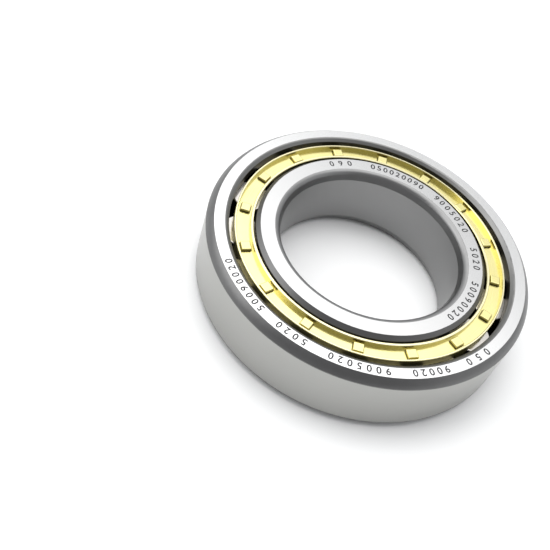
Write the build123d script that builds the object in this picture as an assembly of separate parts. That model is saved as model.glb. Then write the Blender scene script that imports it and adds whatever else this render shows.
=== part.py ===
"""Cylindrical roller bearing, 50 x 90 x 20 mm, with a two-piece machined brass cage.

The outer ring has a flange at each side and holds the rollers. The inner ring has one rib,
at its +Z side, so it can be drawn out of the roller set towards +Z. The bearing axis is Z and
the origin is at the bearing's centre. All lengths are in millimetres and all angles in degrees.
"""
from build123d import *

import os

# Boundary sizes of the bearing
BORE_R = 25.0
OUTSIDE_R = 45.0
HALF_WIDTH = 10.0
CORNER_RADIAL = 1.84          # outer ring's mounting corners, measured along the face
CORNER_AXIAL = 2.1            # the same corners, measured along the outside cylinder
CORNER_SHOULDER = (0.71, 0.82)  # where the two straight flanks of such a corner would meet
CORNER_CURVE = 6.0            # wide rounding between the two flanks
BORE_CORNER_RADIAL = 0.95     # inner ring's mounting corners, as a taper that meets the face
BORE_CORNER_AXIAL = 2.6       # the same taper, measured along the bore
BORE_CORNER_CURVE = 1.6       # rounding between that taper and the face

# Rollers
ROLLER_COUNT = 16
ROLLER_PITCH = 360 / ROLLER_COUNT
PITCH_R = 35.25               # circle through the roller centres
RACEWAY_GAP = 5.5             # from the pitch circle to each raceway
RUNNING_GAP = 0.02            # clearance on each side of a roller
ROLLER_R = RACEWAY_GAP - RUNNING_GAP
FLANGE_FACE_Z = 6.5           # inner faces of the flanges that guide the roller ends
ROLLER_HALF = FLANGE_FACE_Z - RUNNING_GAP
ROLLER_CORNER = 0.55          # rounding at the roller ends
DIMPLE_R = 2.6                # shallow hollow in the middle of each roller end
DIMPLE_DEPTH = 0.3
FIRST_ROLLER_ANGLE = -88.0

# Rings
FLANGE_BORE_R = 39.1          # outer ring, inside its two flanges
FACE_INNER_R = 40.0           # outer ring's flat face starts here
LEAD_DEPTH = 0.8              # axial depth of the bevel between that face and the flange bore
LEAD_CURVE = 0.8              # rounding where that bevel meets the face
RIB_R = 32.0                  # inner ring, outside its rib
RIB_BEVEL = 1.1
RIB_CURVE = 0.3               # rounding where that bevel meets the outside of the rib
UNDERCUT_DEPTH = 0.25         # grinding relief in the corners of the raceways
UNDERCUT_WIDTH = 0.5
UNDERCUT_RAMP = 0.4
EDGE_BREAK = 0.15             # deburred edges of the flanges and the rib
EDGE_CURVE = 0.12             # the rounding that tumbling leaves on the other turned edges
LEAD_IN_DROP = 0.5            # taper at the open end of the inner raceway
LEAD_IN_LENGTH = 1.2

# Cage
CAGE_INNER_R = 32.6
CAGE_OUTER_R = 37.7
CAGE_HALF = 9.1
POCKET_HALF = 6.6             # pocket runs from -6.6 to the underside of the cover at 6.6
POCKET_R = 5.65
INNER_RIM = 0.75              # wall of the cover's channel towards the bore
OUTER_RIM = 0.55              # wall of the cover's channel towards the outside
CHANNEL_FLOOR_Z = 7.8
CAGE_BEVEL = 0.25
RIM_BREAK = 0.12
HEAD_RADIAL = 2.6             # riveted head of a bar, seen from above
HEAD_TANGENTIAL = 2.75
HEAD_TOP_Z = 8.65
HEAD_CORNER = 0.15            # rounding of a head's four upright edges
HEAD_CURVE = 0.25             # rounding of its top edges
HEAD_CENTRE_R = 35.15
TENON_RADIAL = 1.9
TENON_TANGENTIAL = 1.8
TENON_GAP = 0.03              # between a tenon and its hole in the cover

SAME_EDGE = 1e-3              # how near a round edge has to be to the one looked for


def turned(points):
    """A ring turned from one closed outline of (radius, height) points."""
    outline = make_face(Plane.XZ * Polyline(*points, close=True))
    return revolve(outline, Axis.Z, 360)


def circles_at(solid, radius, height):
    """The round edges of a solid that have this radius and this height."""
    found = []
    for edge in solid.edges().filter_by(GeomType.CIRCLE):
        same_radius = abs(edge.radius - radius) < SAME_EDGE
        if same_radius and abs(edge.arc_center.Z - height) < SAME_EDGE:
            found.append(edge)
    return found


def around(count, first_angle, radius):
    """Places on a circle, each turned so that its X axis points away from the bearing axis."""
    places = []
    for k in range(count):
        places.append(Rot(0, 0, first_angle + k * 360 / count) * Pos(radius, 0, 0))
    return places


def outer_ring():
    """Outer ring: outside cylinder, two flanges and the raceway between them."""
    raceway_r = PITCH_R + RACEWAY_GAP
    relief_r = raceway_r + UNDERCUT_DEPTH
    relief_z = FLANGE_FACE_Z - UNDERCUT_WIDTH
    shoulder_in, shoulder_down = CORNER_SHOULDER
    half = [
        (OUTSIDE_R, HALF_WIDTH - CORNER_AXIAL),
        (OUTSIDE_R - shoulder_in, HALF_WIDTH - shoulder_down),
        (OUTSIDE_R - CORNER_RADIAL, HALF_WIDTH),
        (FACE_INNER_R, HALF_WIDTH),
        (FLANGE_BORE_R, HALF_WIDTH - LEAD_DEPTH),
        (FLANGE_BORE_R, FLANGE_FACE_Z + EDGE_BREAK),
        (FLANGE_BORE_R + EDGE_BREAK, FLANGE_FACE_Z),
        (relief_r, FLANGE_FACE_Z),
        (relief_r, relief_z),
        (raceway_r, relief_z - UNDERCUT_RAMP),
    ]
    mirrored = [(r, -z) for r, z in reversed(half)]
    ring = turned(half + mirrored)
    for side in (-1, 1):
        shoulder = circles_at(ring, OUTSIDE_R - shoulder_in, side * (HALF_WIDTH - shoulder_down))
        ring = fillet(shoulder, CORNER_CURVE)
        lead = circles_at(ring, FACE_INNER_R, side * HALF_WIDTH)
        ring = fillet(lead, LEAD_CURVE)
        crisp = circles_at(ring, OUTSIDE_R, side * (HALF_WIDTH - CORNER_AXIAL))
        crisp += circles_at(ring, OUTSIDE_R - CORNER_RADIAL, side * HALF_WIDTH)
        crisp += circles_at(ring, FLANGE_BORE_R, side * (HALF_WIDTH - LEAD_DEPTH))
        ring = fillet(crisp, EDGE_CURVE)
    return ring


def inner_ring():
    """Inner ring: bore with tapered and rounded corners, open raceway, one rib at the +Z side."""
    raceway_r = PITCH_R - RACEWAY_GAP
    relief_r = raceway_r - UNDERCUT_DEPTH
    relief_z = FLANGE_FACE_Z - UNDERCUT_WIDTH
    ring = turned([
        (BORE_R, BORE_CORNER_AXIAL - HALF_WIDTH),
        (BORE_R + BORE_CORNER_RADIAL, -HALF_WIDTH),
        (raceway_r - LEAD_IN_DROP, -HALF_WIDTH),
        (raceway_r, -HALF_WIDTH + LEAD_IN_LENGTH),
        (raceway_r, relief_z - UNDERCUT_RAMP),
        (relief_r, relief_z),
        (relief_r, FLANGE_FACE_Z),
        (RIB_R - EDGE_BREAK, FLANGE_FACE_Z),
        (RIB_R, FLANGE_FACE_Z + EDGE_BREAK),
        (RIB_R, HALF_WIDTH - RIB_BEVEL),
        (RIB_R - RIB_BEVEL, HALF_WIDTH),
        (BORE_R + BORE_CORNER_RADIAL, HALF_WIDTH),
        (BORE_R, HALF_WIDTH - BORE_CORNER_AXIAL),
    ])
    for side in (-1, 1):
        taper_top = circles_at(ring, BORE_R + BORE_CORNER_RADIAL, side * HALF_WIDTH)
        ring = fillet(taper_top, BORE_CORNER_CURVE)
    ring = fillet(circles_at(ring, RIB_R, HALF_WIDTH - RIB_BEVEL), RIB_CURVE)
    crisp = circles_at(ring, RIB_R - RIB_BEVEL, HALF_WIDTH)
    crisp += circles_at(ring, raceway_r - LEAD_IN_DROP, -HALF_WIDTH)
    return fillet(crisp, EDGE_CURVE)


def roller():
    """One roller, standing on the bearing axis: rounded ends with a shallow hollow in each."""
    body = Cylinder(ROLLER_R, 2 * ROLLER_HALF)
    for side in (-1, 1):
        body = fillet(circles_at(body, ROLLER_R, side * ROLLER_HALF), ROLLER_CORNER)
    dish_r = (DIMPLE_R ** 2 + DIMPLE_DEPTH ** 2) / (2 * DIMPLE_DEPTH)
    for side in (-1, 1):
        body -= Pos(0, 0, side * (ROLLER_HALF - DIMPLE_DEPTH + dish_r)) * Sphere(dish_r)
    return body


def cage_body():
    """Comb half of the cage: base ring, a bar between each two rollers, and riveted tenons."""
    comb = turned([
        (CAGE_INNER_R, -CAGE_HALF),
        (CAGE_OUTER_R, -CAGE_HALF),
        (CAGE_OUTER_R, POCKET_HALF),
        (CAGE_INNER_R, POCKET_HALF),
    ])
    for radius in (CAGE_INNER_R, CAGE_OUTER_R):
        comb = chamfer(circles_at(comb, radius, -CAGE_HALF), CAGE_BEVEL)
    pocket = Cylinder(POCKET_R, 2 * POCKET_HALF)
    for place in around(ROLLER_COUNT, FIRST_ROLLER_ANGLE, PITCH_R):
        comb -= place * pocket

    shank_height = HEAD_TOP_Z - POCKET_HALF
    shank = Pos(0, 0, POCKET_HALF + shank_height / 2) * Box(
        TENON_RADIAL, TENON_TANGENTIAL, shank_height)
    head_height = HEAD_TOP_Z - CHANNEL_FLOOR_Z
    head = Pos(0, 0, CHANNEL_FLOOR_Z + head_height / 2) * Box(
        HEAD_RADIAL, HEAD_TANGENTIAL, head_height)
    head = fillet(head.edges().filter_by(Axis.Z), HEAD_CORNER)
    head = fillet(head.faces().sort_by(Axis.Z)[-1].edges(), HEAD_CURVE)
    tenon = shank + head
    first_bar = FIRST_ROLLER_ANGLE - ROLLER_PITCH / 2
    for place in around(ROLLER_COUNT, first_bar, HEAD_CENTRE_R):
        comb += place * tenon
    return comb


def cage_cover():
    """Cover half of the cage: a ring with an open channel and one hole for each tenon."""
    channel_inner = CAGE_INNER_R + INNER_RIM
    channel_outer = CAGE_OUTER_R - OUTER_RIM
    cover = turned([
        (CAGE_INNER_R, POCKET_HALF),
        (CAGE_OUTER_R, POCKET_HALF),
        (CAGE_OUTER_R, CAGE_HALF),
        (channel_outer, CAGE_HALF),
        (channel_outer, CHANNEL_FLOOR_Z),
        (channel_inner, CHANNEL_FLOOR_Z),
        (channel_inner, CAGE_HALF),
        (CAGE_INNER_R, CAGE_HALF),
    ])
    rim_edges = []
    for radius in (CAGE_INNER_R, channel_inner, channel_outer, CAGE_OUTER_R):
        rim_edges += circles_at(cover, radius, CAGE_HALF)
    cover = chamfer(rim_edges, RIM_BREAK)
    cut_height = 2 * (CAGE_HALF - POCKET_HALF)
    hole = Pos(0, 0, CHANNEL_FLOOR_Z) * Box(
        TENON_RADIAL + 2 * TENON_GAP, TENON_TANGENTIAL + 2 * TENON_GAP, cut_height)
    first_bar = FIRST_ROLLER_ANGLE - ROLLER_PITCH / 2
    for place in around(ROLLER_COUNT, first_bar, HEAD_CENTRE_R):
        cover -= place * hole
    return cover


os.makedirs("parts", exist_ok=True)
export_step(outer_ring(), "parts/outer_ring.step")
export_step(inner_ring(), "parts/inner_ring.step")
export_step(cage_body(), "parts/cage_body.step")
export_step(cage_cover(), "parts/cage_cover.step")
one_roller = roller()
for k, place in enumerate(around(ROLLER_COUNT, FIRST_ROLLER_ANGLE, PITCH_R), start=1):
    export_step(place * one_roller, f"parts/roller_{k:02d}.step")
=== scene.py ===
import math

import bmesh
import bpy
from mathutils import Matrix, Vector


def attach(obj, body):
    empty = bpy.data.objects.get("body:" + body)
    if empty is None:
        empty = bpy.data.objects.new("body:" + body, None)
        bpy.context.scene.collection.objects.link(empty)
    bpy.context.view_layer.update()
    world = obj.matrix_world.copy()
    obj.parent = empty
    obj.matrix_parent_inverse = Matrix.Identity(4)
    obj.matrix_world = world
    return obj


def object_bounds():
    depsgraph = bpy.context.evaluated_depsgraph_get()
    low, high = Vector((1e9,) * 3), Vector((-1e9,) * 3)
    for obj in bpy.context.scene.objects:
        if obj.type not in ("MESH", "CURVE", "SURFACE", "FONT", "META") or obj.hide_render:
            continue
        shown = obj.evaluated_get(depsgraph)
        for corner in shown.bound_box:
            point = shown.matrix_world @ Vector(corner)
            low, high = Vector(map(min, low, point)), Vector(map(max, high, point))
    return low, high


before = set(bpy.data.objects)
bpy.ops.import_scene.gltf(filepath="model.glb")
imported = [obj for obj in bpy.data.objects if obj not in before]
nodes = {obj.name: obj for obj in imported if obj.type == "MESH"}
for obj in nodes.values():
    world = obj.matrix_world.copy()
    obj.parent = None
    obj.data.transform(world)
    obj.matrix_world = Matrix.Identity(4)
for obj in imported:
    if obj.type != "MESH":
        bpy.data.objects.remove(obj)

cad_low, cad_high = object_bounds()
scene = bpy.context.scene

# ---------------------------------------------------------------------------------------------------
# Camera. It stands 225 mm from the bearing and looks down on the ribbed side at 45 degrees, turned
# a little about its own line of sight.
# ---------------------------------------------------------------------------------------------------
sensor_width = 36.0             # in millimetres, like the focal length
focal_length = 53.09
nearest_drawn = 0.005
farthest_drawn = 20.0
camera_place = Vector((0.0, -0.1586, 0.160155))
rightward = Vector((0.8944, 0.3837, 0.2298))
upward = Vector((-0.4381, 0.6484, 0.6225))

camera_data = bpy.data.cameras.new("camera")
camera_data.sensor_width = sensor_width
camera_data.lens = focal_length
camera_data.clip_start = nearest_drawn
camera_data.clip_end = farthest_drawn
camera = bpy.data.objects.new("camera", camera_data)
scene.collection.objects.link(camera)
camera_right = rightward.normalized()
camera_back = camera_right.cross(upward).normalized()
camera_up = camera_back.cross(camera_right)
turn = Matrix((camera_right, camera_up, camera_back)).transposed().to_4x4()
camera.matrix_world = Matrix.Translation(camera_place) @ turn
scene.camera = camera
scene.view_settings.view_transform = "Standard"


# ---------------------------------------------------------------------------------------------------
# Table. A sheet of matt white drawing paper, rolled out flat, on which the bearing lies on its side
# face. It isn't part of the bearing.
# ---------------------------------------------------------------------------------------------------
mm = 0.001


def hex_colour(code, shade=1.0):
    """An sRGB hex colour, such as #c0c0c0, as linear red, green, blue and alpha, times a shade."""
    values = [int(code[i:i + 2], 16) / 255 for i in (1, 3, 5)]
    linear = [v / 12.92 if v <= 0.04045 else ((v + 0.055) / 1.055) ** 2.4 for v in values]
    return [min(1.0, v * shade) for v in linear] + [1.0]


def add(tree, kind, settings=None, inputs=None, output=0):
    """Adds one shader node with its settings, values and links, and gives back one of its outputs."""
    made = tree.nodes.new(kind)
    for name, value in (settings or {}).items():
        setattr(made, name, value)
    for key, value in (inputs or {}).items():
        if isinstance(value, bpy.types.NodeSocket):
            tree.links.new(value, made.inputs[key])
        else:
            made.inputs[key].default_value = value
    return made.outputs[output] if len(made.outputs) else made


def new_material(name):
    """An empty material and its node tree."""
    material = bpy.data.materials.new(name)
    material.use_nodes = True
    material.node_tree.nodes.clear()
    return material, material.node_tree


# Cartridge paper, calendered: quite matt and nearly white, with the faint clouds of its pulp.
paper, tree = new_material("calendered_white_paper")
pulp_cloud = 30 * mm
point = add(tree, "ShaderNodeTexCoord", output="Object")
pulp = add(tree, "ShaderNodeTexNoise", inputs={"Vector": point, "Scale": 1 / pulp_cloud, "Detail": 3.0})
shade = add(tree, "ShaderNodeMix", {"data_type": "RGBA"},
            {"Factor": pulp, "A": hex_colour("#f1f2f2"), "B": hex_colour("#f6f6f6")}, "Result")
surface = add(tree, "ShaderNodeBsdfPrincipled", inputs={"Base Color": shade, "Roughness": 0.9,
                                                        "Specular IOR Level": 0.2})
add(tree, "ShaderNodeOutputMaterial", inputs={"Surface": surface})

paper_half = 6.0
paper_gap = 0.02 * mm
sheet = bpy.data.meshes.new("paper_sheet")
shape = bmesh.new()
bmesh.ops.create_grid(shape, x_segments=8, y_segments=8, size=paper_half)
bmesh.ops.translate(shape, verts=shape.verts, vec=(0.0, 0.0, cad_low.z - paper_gap))
shape.to_mesh(sheet)
shape.free()
sheet.materials.append(paper)
table = bpy.data.objects.new("paper_sheet", sheet)
scene.collection.objects.link(table)

# ---------------------------------------------------------------------------------------------------
# Light tent. White cloth all round, brightest overhead where the studio light shines through it, and
# open, so darker, on the side of the camera. A strip light stands close to the cloth on the left.
# ---------------------------------------------------------------------------------------------------
tent = bpy.data.worlds.new("light_tent")
scene.world = tent
tent.use_nodes = True
tree = tent.node_tree
tree.nodes.clear()
direction = add(tree, "ShaderNodeTexCoord", output="Generated")


def patch(towards, inner_cosine, outer_cosine):
    """1 inside a round patch of the cloth in that direction, falling smoothly to 0 at its edge."""
    facing = add(tree, "ShaderNodeVectorMath", {"operation": "DOT_PRODUCT"},
                 {0: direction, 1: Vector(towards).normalized()}, "Value")
    return add(tree, "ShaderNodeMapRange", {"interpolation_type": "SMOOTHSTEP"},
               {"Value": facing, "From Min": outer_cosine, "From Max": inner_cosine})


overhead = patch(towards=(-0.18, 0.15, 1.0), inner_cosine=0.86, outer_cosine=0.68)
opening = patch(towards=(0.14, -0.87, 0.46), inner_cosine=0.78, outer_cosine=0.32)
strip = patch(towards=(-0.85, -0.15, 0.52), inner_cosine=0.97, outer_cosine=0.84)
strip_foot = 0.20               # the strip light fades in between these two heights of the view
strip_full = 0.5
height = add(tree, "ShaderNodeSeparateXYZ", inputs={"Vector": direction}, output="Z")
above_table = add(tree, "ShaderNodeMapRange", {"interpolation_type": "SMOOTHSTEP"},
                  {"Value": height, "From Min": strip_foot, "From Max": strip_full})
strip = add(tree, "ShaderNodeMath", {"operation": "MULTIPLY"}, {0: strip, 1: above_table})
cloth = (0.88, 0.89, 0.90, 1.0)
overhead_level = (2.6, 2.6, 2.6, 1.0)
opening_level = (0.42, 0.42, 0.43, 1.0)
strip_level = (3.0, 3.0, 3.0, 1.0)
for where, level in ((overhead, overhead_level), (opening, opening_level), (strip, strip_level)):
    cloth = add(tree, "ShaderNodeMix", {"data_type": "RGBA"},
                {"Factor": where, "A": cloth, "B": level}, "Result")
glow = add(tree, "ShaderNodeBackground", inputs={"Color": cloth, "Strength": 1.0})
add(tree, "ShaderNodeOutputWorld", inputs={"Surface": glow})

# A lamp above the tent, a little behind and to the left, lights the paper through the cloth. Metal
# doesn't mirror it.
lamp_width = 0.5
lamp_watts = 1.2
lamp_place = Vector((-0.08, 0.06, 0.90))
lamp_data = bpy.data.lights.new("lamp_above", "AREA")
lamp_data.shape = "DISK"
lamp_data.size = lamp_width
lamp_data.energy = lamp_watts
lamp = bpy.data.objects.new("lamp_above", lamp_data)
scene.collection.objects.link(lamp)
lamp.location = lamp_place
lamp.rotation_mode = "QUATERNION"
lamp.rotation_quaternion = (-lamp.location).to_track_quat("-Z", "Y")
lamp.visible_glossy = False


# ---------------------------------------------------------------------------------------------------
# Rings. The outer ring carries both flanges, the inner ring one rib. Both are turned from bar of
# through-hardened bearing steel, then ground where they seat or bear: the side faces, the outside
# cylinder or the bore, and the raceways. The corners and the flange and rib edges stay as turned.
# ---------------------------------------------------------------------------------------------------
def place_on_axis(tree):
    """A point, its distance from the bearing's axis, its height, and its direction from the axis."""
    point = add(tree, "ShaderNodeTexCoord", output="Object")
    height = add(tree, "ShaderNodeSeparateXYZ", inputs={"Vector": point}, output="Z")
    flat = add(tree, "ShaderNodeVectorMath", {"operation": "MULTIPLY"}, {0: point, 1: (1.0, 1.0, 0.0)})
    radius = add(tree, "ShaderNodeVectorMath", {"operation": "LENGTH"}, {0: flat}, "Value")
    outward = add(tree, "ShaderNodeVectorMath", {"operation": "NORMALIZE"}, {0: flat})
    return point, radius, height, outward


line_fade = 1.3                 # how often a tool line fades and returns on its way round


def lines_round(tree, radius, height, outward, spacing):
    """Tool lines that run round the axis, a spacing apart, and fade and return along their length."""
    across = add(tree, "ShaderNodeMath", {"operation": "ADD"}, {0: radius, 1: height})
    across = add(tree, "ShaderNodeMath", {"operation": "DIVIDE"}, {0: across, 1: spacing})
    along = add(tree, "ShaderNodeVectorMath", {"operation": "SCALE"}, {0: outward, "Scale": line_fade})
    return add(tree, "ShaderNodeTexNoise", {"noise_dimensions": "4D"},
               {"Vector": along, "W": across, "Scale": 1.0, "Detail": 2.0})


# The real lines are finer: a grinding wheel's grit leaves them about 0.02 mm apart, and the tool's
# feed about 0.1 mm apart. They are drawn wider so that they show.
grinding_spacing = 0.22 * mm
turning_spacing = 0.45 * mm
lay_width = 0.5 * mm
lay_length = 6 * mm
lay_turn = 0.6                  # the angle, in radians, at which the wheel crossed the faces
skin_cloud = 6 * mm
relief_strength = 0.12
relief_depth = 0.02 * mm
face_tolerance = 0.002 * mm     # how near the outermost level counts as a side face
radius_tolerance = 0.04 * mm    # how near its radius counts as a seat or a raceway
corner_depth = 2.2 * mm         # how far in from a seat its corner reaches


def bearing_steel(name, seat_radius, seat_end, raceway_radius, codes, seat_rough):
    """Bearing steel of one ring: mirror-like raceway, satin seat and faces, dull darker turned skin."""
    face_code, seat_code, corner_code, edge_code = codes
    material, tree = new_material(name)
    point, radius, height, outward = place_on_axis(tree)
    level = add(tree, "ShaderNodeMath", {"operation": "ABSOLUTE"}, {0: height})

    # Where each surface is. A seat ends a little short of the corner, and the band between takes the dark
    # corner colour: a painted shade line round each end of the seat.
    on_face = add(tree, "ShaderNodeMath", {"operation": "COMPARE"},
                  {0: level, 1: cad_high.z, 2: face_tolerance})
    at_seat = add(tree, "ShaderNodeMath", {"operation": "COMPARE"},
                  {0: radius, 1: seat_radius, 2: radius_tolerance})
    clear_of_painted_shade_line = add(tree, "ShaderNodeMath", {"operation": "LESS_THAN"}, {0: level, 1: seat_end})
    on_seat = add(tree, "ShaderNodeMath", {"operation": "MULTIPLY"}, {0: at_seat, 1: clear_of_painted_shade_line})
    on_corner = add(tree, "ShaderNodeMath", {"operation": "COMPARE"},
                    {0: radius, 1: seat_radius, 2: corner_depth})
    on_raceway = add(tree, "ShaderNodeMath", {"operation": "COMPARE"},
                     {0: radius, 1: raceway_radius, 2: radius_tolerance})

    # The marks that the tools leave.
    turning = lines_round(tree, radius, height, outward, turning_spacing)
    grinding = lines_round(tree, radius, height, outward, grinding_spacing)
    lay = add(tree, "ShaderNodeMapping", {"vector_type": "POINT"},
              {"Vector": point, "Rotation": (0.0, 0.0, lay_turn),
               "Scale": (1 / lay_width, 1 / lay_length, 1.0)})
    lay = add(tree, "ShaderNodeTexNoise", inputs={"Vector": lay, "Scale": 1.0, "Detail": 2.0})
    skin = add(tree, "ShaderNodeTexNoise", inputs={"Vector": point, "Scale": 1 / skin_cloud, "Detail": 4.0})

    # Colour: the skin is cloudy, the ground surfaces nearly even.
    shade = None
    for where, marks, code, low, high in ((None, skin, edge_code, 0.88, 1.12),
                                          (on_corner, skin, corner_code, 0.88, 1.12),
                                          (on_seat, grinding, seat_code, 0.95, 1.05),
                                          (on_raceway, grinding, "#cfd0d2", 0.98, 1.02),
                                          (on_face, lay, face_code, 0.985, 1.015)):
        worked = add(tree, "ShaderNodeMix", {"data_type": "RGBA"},
                     {"Factor": marks, "A": hex_colour(code, low), "B": hex_colour(code, high)}, "Result")
        if where is None:
            shade = worked
        else:
            shade = add(tree, "ShaderNodeMix", {"data_type": "RGBA"},
                        {"Factor": where, "A": shade, "B": worked}, "Result")

    # Roughness and relief follow the same marks.
    rough = None
    for where, marks, low, high in ((None, turning, 0.30, 0.46),
                                    (on_seat, grinding, seat_rough - 0.07, seat_rough + 0.07),
                                    (on_raceway, grinding, 0.10, 0.14),
                                    (on_face, lay, 0.22, 0.28)):
        worked = add(tree, "ShaderNodeMapRange", inputs={"Value": marks, "To Min": low, "To Max": high})
        if where is None:
            rough = worked
        else:
            rough = add(tree, "ShaderNodeMix", {"data_type": "FLOAT"},
                        {"Factor": where, "A": rough, "B": worked}, "Result")
    relief = add(tree, "ShaderNodeMix", {"data_type": "FLOAT"},
                 {"Factor": on_seat, "A": turning, "B": grinding}, "Result")
    faint_lay = add(tree, "ShaderNodeMath", {"operation": "MULTIPLY"}, {0: lay, 1: 0.1})
    relief = add(tree, "ShaderNodeMix", {"data_type": "FLOAT"},
                 {"Factor": on_face, "A": relief, "B": faint_lay}, "Result")
    bump = add(tree, "ShaderNodeBump",
               inputs={"Strength": relief_strength, "Distance": relief_depth, "Height": relief})
    surface = add(tree, "ShaderNodeBsdfPrincipled",
                  inputs={"Base Color": shade, "Metallic": 1.0, "Roughness": rough, "Normal": bump})
    add(tree, "ShaderNodeOutputMaterial", inputs={"Surface": surface})
    return material


# Face, seat, mounting corner, and flange or rib edge, from the lightest finish to the darkest skin.
# seat_end is where each seat stops and the painted shade line at its ends begins.
outer_steel = bearing_steel("ground_bearing_steel_outer", seat_radius=45 * mm, seat_end=7.65 * mm,
                            raceway_radius=40.75 * mm, seat_rough=0.33,
                            codes=("#cbcbcb", "#a6a6a3", "#6f6f6f", "#7a7a79"))
inner_steel = bearing_steel("ground_bearing_steel_inner", seat_radius=25 * mm, seat_end=7.3 * mm,
                            raceway_radius=29.75 * mm, seat_rough=0.45,
                            codes=("#bdbdbd", "#969696", "#868686", "#707070"))
nodes["outer_ring"].material_slots[0].material = outer_steel
nodes["inner_ring"].material_slots[0].material = inner_steel

# ---------------------------------------------------------------------------------------------------
# Rollers. Sixteen rollers of hardened steel, honed on the outside, with ends ground on a flat wheel
# and a shallow turned hollow in the middle of each end.
# ---------------------------------------------------------------------------------------------------
# Honed steel mirrors its surroundings, a little blurred. Its colour has a warm cast, a painted reflection of
# the brass beside it.
honed, tree = new_material("honed_roller_steel")
honing_cloud = 1.1 * mm
point = add(tree, "ShaderNodeTexCoord", output="Object")
honing = add(tree, "ShaderNodeTexNoise", inputs={"Vector": point, "Scale": 1 / honing_cloud, "Detail": 3.0})
shade = add(tree, "ShaderNodeMix", {"data_type": "RGBA"},
            {"Factor": honing, "A": hex_colour("#aeaaa5"), "B": hex_colour("#bab6b1")}, "Result")
rough = add(tree, "ShaderNodeMapRange", inputs={"Value": honing, "To Min": 0.12, "To Max": 0.22})
surface = add(tree, "ShaderNodeBsdfPrincipled",
              inputs={"Base Color": shade, "Metallic": 1.0, "Roughness": rough})
add(tree, "ShaderNodeOutputMaterial", inputs={"Surface": surface})
for name in sorted(nodes):
    if name.startswith("roller_"):
        nodes[name].material_slots[0].material = honed

# ---------------------------------------------------------------------------------------------------
# Cage. Machined brass in two pieces: a comb body and a channel-section cover ring, held together by
# the ends of the comb's bars, which come through the cover and are pressed into rectangular heads.
# ---------------------------------------------------------------------------------------------------
# Turned brass: a pale clear yellow, brighter than steel, with fine lines round the axis. The rim tops get a
# paler colour, a painted highlight that leaves the channel between them deeper, and a dark line of painted
# shade runs round each pressed head where it meets the channel floor.
brass, tree = new_material("turned_cage_brass")
brass_turning = 0.3 * mm        # the tool's feed is about a third of this, too fine to show
brass_cloud = 4.5 * mm
head_pitch = math.radians(22.5)
first_head = math.radians(-99.25)
head_centre = 35.15 * mm
head_half_radial = 1.3 * mm
head_half_tangential = 1.375 * mm
crease_shade_width = 0.3 * mm
floor_level = 7.8 * mm
crease_shade_top = 8.45 * mm
rim_level = 9.05 * mm
outer_wall_radius = 37.65 * mm
outside_rough = 0.42

point, radius, height, outward = place_on_axis(tree)
turning = lines_round(tree, radius, height, outward, brass_turning)
cloud = add(tree, "ShaderNodeTexNoise", inputs={"Vector": point, "Scale": 1 / brass_cloud, "Detail": 3.0})

# The place within one pitch: the angle from the nearest head, then the distance beyond its edges.
x = add(tree, "ShaderNodeSeparateXYZ", inputs={"Vector": point}, output="X")
y = add(tree, "ShaderNodeSeparateXYZ", inputs={"Vector": point}, output="Y")
angle = add(tree, "ShaderNodeMath", {"operation": "ARCTAN2"}, {0: y, 1: x})
angle = add(tree, "ShaderNodeMath", {"operation": "SUBTRACT"}, {0: angle, 1: first_head})
angle = add(tree, "ShaderNodeMath", {"operation": "WRAP"}, {0: angle, 1: head_pitch / 2, 2: -head_pitch / 2})
cosine = add(tree, "ShaderNodeMath", {"operation": "COSINE"}, {0: angle})
sine = add(tree, "ShaderNodeMath", {"operation": "SINE"}, {0: angle})
across = add(tree, "ShaderNodeMath", {"operation": "MULTIPLY_ADD"}, {0: radius, 1: cosine, 2: -head_centre})
across = add(tree, "ShaderNodeMath", {"operation": "ABSOLUTE"}, {0: across})
across = add(tree, "ShaderNodeMath", {"operation": "SUBTRACT"}, {0: across, 1: head_half_radial})
along = add(tree, "ShaderNodeMath", {"operation": "MULTIPLY"}, {0: radius, 1: sine})
along = add(tree, "ShaderNodeMath", {"operation": "ABSOLUTE"}, {0: along})
along = add(tree, "ShaderNodeMath", {"operation": "SUBTRACT"}, {0: along, 1: head_half_tangential})
beyond = add(tree, "ShaderNodeMath", {"operation": "MAXIMUM"}, {0: across, 1: along})
# Painted shade: a thin dark line round each head, low down in the channel, where the head meets the floor.
crease_shade = add(tree, "ShaderNodeMapRange", inputs={"Value": beyond, "From Min": 0.0, "From Max": crease_shade_width,
                                                 "To Min": 1.0, "To Max": 0.0})
low_down = add(tree, "ShaderNodeMapRange", inputs={"Value": height, "From Min": floor_level,
                                                   "From Max": crease_shade_top, "To Min": 1.0, "To Max": 0.0})
in_channel = add(tree, "ShaderNodeMath", {"operation": "GREATER_THAN"},
                 {0: height, 1: floor_level - 0.1 * mm})
crease_shade = add(tree, "ShaderNodeMath", {"operation": "MULTIPLY"}, {0: crease_shade, 1: low_down})
crease_shade = add(tree, "ShaderNodeMath", {"operation": "MULTIPLY"}, {0: crease_shade, 1: in_channel})

shade = add(tree, "ShaderNodeMix", {"data_type": "RGBA"},
            {"Factor": cloud, "A": hex_colour("#d7ce8d"), "B": hex_colour("#dfd69b")}, "Result")
# Painted highlight: the rim tops get a paler colour than the channel's floor and walls.
on_rim_highlight = add(tree, "ShaderNodeMath", {"operation": "GREATER_THAN"}, {0: height, 1: rim_level})
shade = add(tree, "ShaderNodeMix", {"data_type": "RGBA"},
            {"Factor": on_rim_highlight, "A": shade, "B": hex_colour("#e0d8b0")}, "Result")
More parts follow.
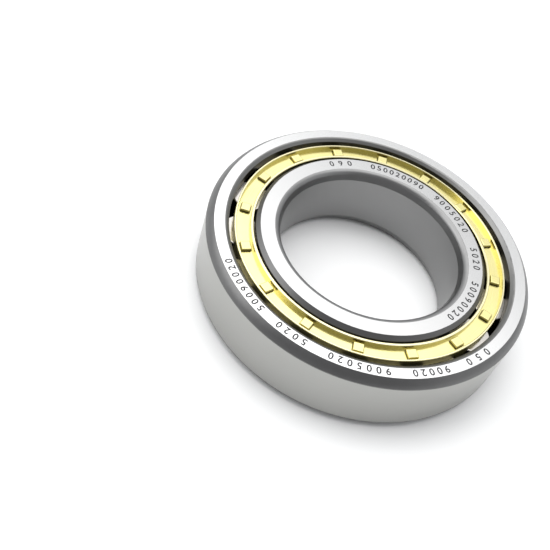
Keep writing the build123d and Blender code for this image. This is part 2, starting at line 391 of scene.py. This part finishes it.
# The painted shade round the heads is a near black brown.
shade = add(tree, "ShaderNodeMix", {"data_type": "RGBA"},
            {"Factor": crease_shade, "A": shade, "B": hex_colour("#382c0c")}, "Result")
rough = add(tree, "ShaderNodeMapRange", inputs={"Value": turning, "To Min": 0.18, "To Max": 0.32})
on_outside = add(tree, "ShaderNodeMath", {"operation": "GREATER_THAN"}, {0: radius, 1: outer_wall_radius})
rough = add(tree, "ShaderNodeMix", {"data_type": "FLOAT"},
            {"Factor": on_outside, "A": rough, "B": outside_rough}, "Result")
bump = add(tree, "ShaderNodeBump",
           inputs={"Strength": relief_strength, "Distance": relief_depth, "Height": turning})
surface = add(tree, "ShaderNodeBsdfPrincipled",
              inputs={"Base Color": shade, "Metallic": 1.0, "Roughness": rough, "Normal": bump})
add(tree, "ShaderNodeOutputMaterial", inputs={"Surface": surface})
for name in ("cage_body", "cage_cover"):
    nodes[name].material_slots[0].material = brass

# ---------------------------------------------------------------------------------------------------
# Marks. Plain numerals, such as the size 50 90 20, darkened into the ring faces by a laser. They
# stand with their tops outward and read clockwise, and each ring's numerals are one thin mesh.
# ---------------------------------------------------------------------------------------------------
# Laser-darkened steel: a thin black oxide, matt, and mottled by the overlap of the laser's spots.
marked, tree = new_material("laser_darkened_steel")
laser_spot = 0.3 * mm
point = add(tree, "ShaderNodeTexCoord", output="Object")
spots = add(tree, "ShaderNodeTexNoise", inputs={"Vector": point, "Scale": 1 / laser_spot, "Detail": 2.0})
shade = add(tree, "ShaderNodeMix", {"data_type": "RGBA"},
            {"Factor": spots, "A": hex_colour("#1d1d1e"), "B": hex_colour("#3c3c3e")}, "Result")
surface = add(tree, "ShaderNodeBsdfPrincipled",
              inputs={"Base Color": shade, "Metallic": 0.3, "Roughness": 0.6})
add(tree, "ShaderNodeOutputMaterial", inputs={"Surface": surface})

numeral_height = 2.0 * mm
mark_thickness = 0.012 * mm
mark_centre_z = cad_high.z - 0.004 * mm     # so the numerals' tops stand 0.002 mm above the face
stroke_spread = 0.02
weld_distance = 1e-7


def numeral_plate(digit):
    """One numeral as a thin closed plate, centred across, standing on its base line."""
    text = bpy.data.curves.new("numeral", "FONT")
    text.body = digit
    text.extrude = 0.5
    text.offset = stroke_spread
    holder = bpy.data.objects.new("numeral", text)
    scene.collection.objects.link(holder)
    bpy.context.view_layer.update()
    plate = bpy.data.meshes.new_from_object(holder.evaluated_get(bpy.context.evaluated_depsgraph_get()))
    bpy.data.objects.remove(holder)
    left, right = min(v.co.x for v in plate.vertices), max(v.co.x for v in plate.vertices)
    foot, head = min(v.co.y for v in plate.vertices), max(v.co.y for v in plate.vertices)
    size = numeral_height / (head - foot)
    plate.transform(Matrix.Diagonal((size, size, mark_thickness, 1.0))
                    @ Matrix.Translation((-(left + right) / 2, -foot, 0.0)))
    return plate


def mark_ring(name, ring, base_radius, groups):
    """Marks a ring's face with groups of numerals, each spread evenly from one angle to another."""
    made = bmesh.new()
    for digits, first, last in groups:
        for k, digit in enumerate(digits):
            turn = math.radians(last + (first - last) * k / (len(digits) - 1))
            outward = Vector((math.sin(turn), -math.cos(turn), 0.0))
            reading = Vector((-math.cos(turn), -math.sin(turn), 0.0))
            upright = Matrix((reading, outward, Vector((0.0, 0.0, 1.0)))).transposed().to_4x4()
            place = Matrix.Translation(outward * base_radius + Vector((0.0, 0.0, mark_centre_z)))
            plate = numeral_plate(digit)
            plate.transform(place @ upright)
            made.from_mesh(plate)
            bpy.data.meshes.remove(plate)
    bmesh.ops.remove_doubles(made, verts=made.verts, dist=weld_distance)
    bmesh.ops.recalc_face_normals(made, faces=made.faces)
    mesh = bpy.data.meshes.new(name)
    made.to_mesh(mesh)
    made.free()
    mesh.materials.append(marked)
    marks = bpy.data.objects.new(name, mesh)
    scene.collection.objects.link(marks)
    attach(marks, ring)


# Each group is its digits, then the angles that it runs between, in degrees round the axis.
mark_ring("outer_ring_numerals", "outer_ring", base_radius=40.6 * mm,
          groups=[("50090020", -45.6, -24.0), ("5020", -15.6, -5.6), ("9005020", 4.0, 23.6),
                  ("90020", 33.0, 45.0), ("050", 54.5, 63.5)])
mark_ring("inner_ring_numerals", "inner_ring", base_radius=28.2 * mm,
          groups=[("50090020", 63.0, 93.0), ("5020", 105.0, 118.0), ("9005020", 132.0, 158.0),
                  ("050020090", 169.0, 199.0), ("090", 213.0, 224.0)])
